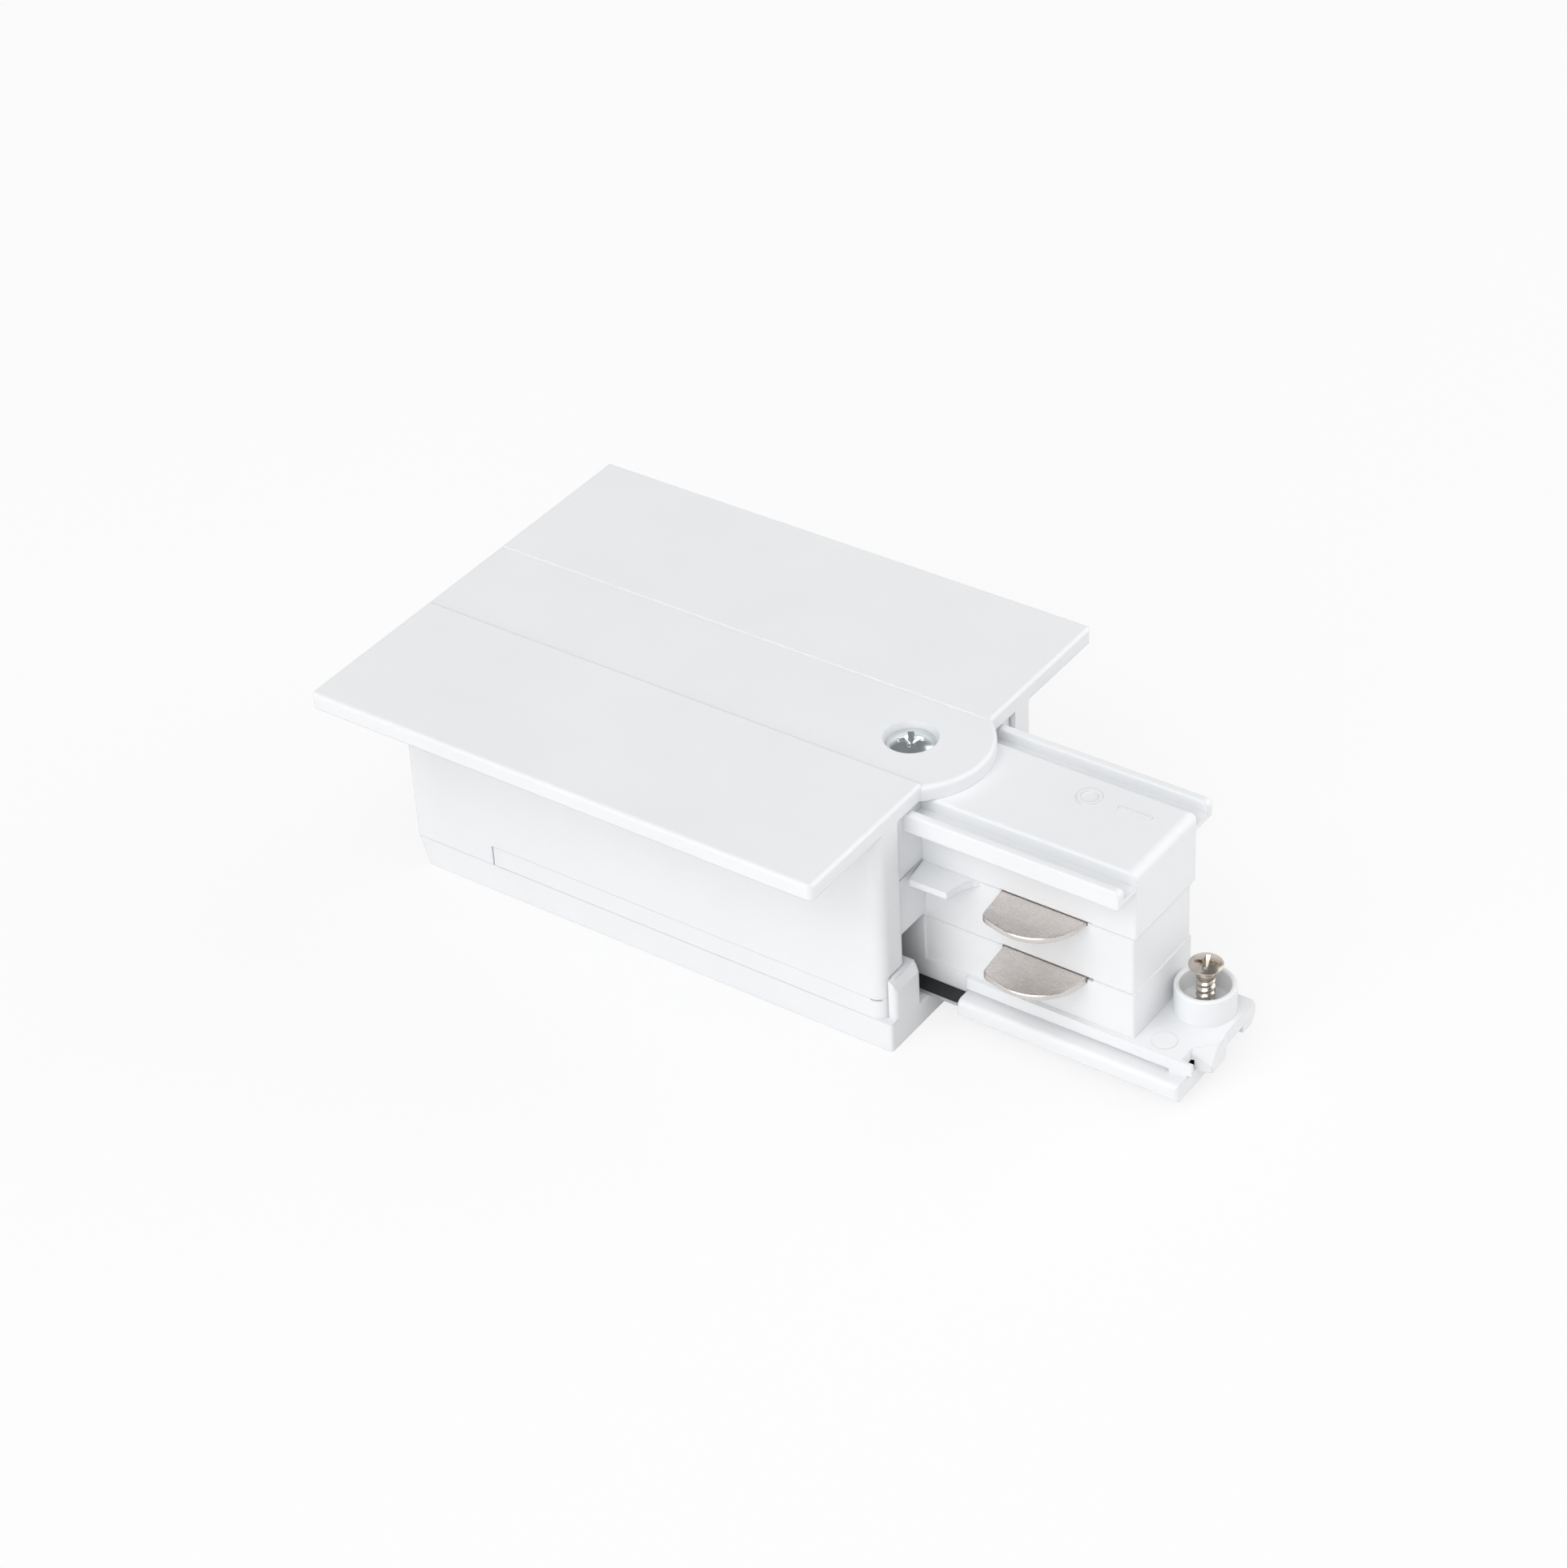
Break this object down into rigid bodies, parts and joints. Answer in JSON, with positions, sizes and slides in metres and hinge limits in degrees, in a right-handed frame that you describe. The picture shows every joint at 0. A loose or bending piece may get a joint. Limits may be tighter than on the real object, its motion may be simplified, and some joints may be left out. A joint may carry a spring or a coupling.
{
  "type": "track light power feed",
  "caption": "Recessed live-end power feed for a lighting track: flanged wiring housing with a clip-on cover, a plug with side contact blades and a locking screw.",
  "frame": {"origin": "middle of the bounding box's bottom face, on the surface that the rear cover stands on", "axes": "+X along the track from the wiring housing to the plug's tip, +Y across towards the side away from the stop tab, +Z from the rear cover up to the flange's visible face"},
  "size_m": [0.1128, 0.062, 0.034],
  "materials": {
    "white_plastic": "satin moulded white plastic",
    "cream_plastic": "plain moulded cream plastic",
    "contact_metal": "nickel-plated stamped copper alloy, satin",
    "strip_steel": "black-oxide steel strip with bare sheared edges",
    "clamp_brass": "plain turned and milled brass",
    "zinc_steel": "bright zinc-plated steel",
    "nickel_screw": "nickel-plated steel screw"
  },
  "bodies": {
    "root": {"flange_housing": "white_plastic", "plug_top": "white_plastic", "plug_middle": "white_plastic", "plug_base": "white_plastic", "contact_upper_near": "contact_metal", "contact_upper_far": "contact_metal", "contact_lower_near": "contact_metal", "contact_lower_far": "contact_metal", "earth_strip": "strip_steel", "terminal_block": "cream_plastic", "wire_clamp_1": "clamp_brass", "wire_clamp_2": "clamp_brass", "wire_clamp_3": "clamp_brass", "wire_clamp_4": "clamp_brass", "wire_clamp_5": "clamp_brass", "tongue_screw": "zinc_steel", "layer_screw_front": "zinc_steel", "layer_screw_rear": "zinc_steel", "block_screw_near": "zinc_steel", "block_screw_far": "zinc_steel"},
    "rear_cover": {"rear_cover": "white_plastic"},
    "locking_screw": {"locking_screw": "nickel_screw"},
    "cable_clamp": {"cable_clamp": "white_plastic", "cable_clamp_screw_near": "zinc_steel", "cable_clamp_screw_far": "zinc_steel"},
    "wire_screw_1": {"wire_screw_1": "zinc_steel"},
    "wire_screw_2": {"wire_screw_2": "zinc_steel"},
    "wire_screw_3": {"wire_screw_3": "zinc_steel"},
    "wire_screw_4": {"wire_screw_4": "zinc_steel"},
    "wire_screw_5": {"wire_screw_5": "zinc_steel"}
  },
  "joints": [
    {"name": "cover_slide", "type": "slide", "parent": "root", "child": "rear_cover", "axis": [0, 0, -1], "range_m": [0, 0.015]},
    {"name": "locking_screw_travel", "type": "slide", "parent": "root", "child": "locking_screw", "axis": [0, 0, -1], "range_m": [0, 0.0028]},
    {"name": "cable_clamp_travel", "type": "slide", "parent": "root", "child": "cable_clamp", "axis": [0, 0, -1], "range_m": [0, 0.003]},
    {"name": "wire_screw_1_travel", "type": "slide", "parent": "root", "child": "wire_screw_1", "axis": [0, 0, -1], "range_m": [0, 0.0025]},
    {"name": "wire_screw_2_travel", "type": "slide", "parent": "root", "child": "wire_screw_2", "axis": [0, 0, -1], "range_m": [0, 0.0025]},
    {"name": "wire_screw_3_travel", "type": "slide", "parent": "root", "child": "wire_screw_3", "axis": [0, 0, -1], "range_m": [0, 0.0025]},
    {"name": "wire_screw_4_travel", "type": "slide", "parent": "root", "child": "wire_screw_4", "axis": [0, 0, -1], "range_m": [0, 0.0025]},
    {"name": "wire_screw_5_travel", "type": "slide", "parent": "root", "child": "wire_screw_5", "axis": [0, 0, -1], "range_m": [0, 0.0025]}
  ]
}
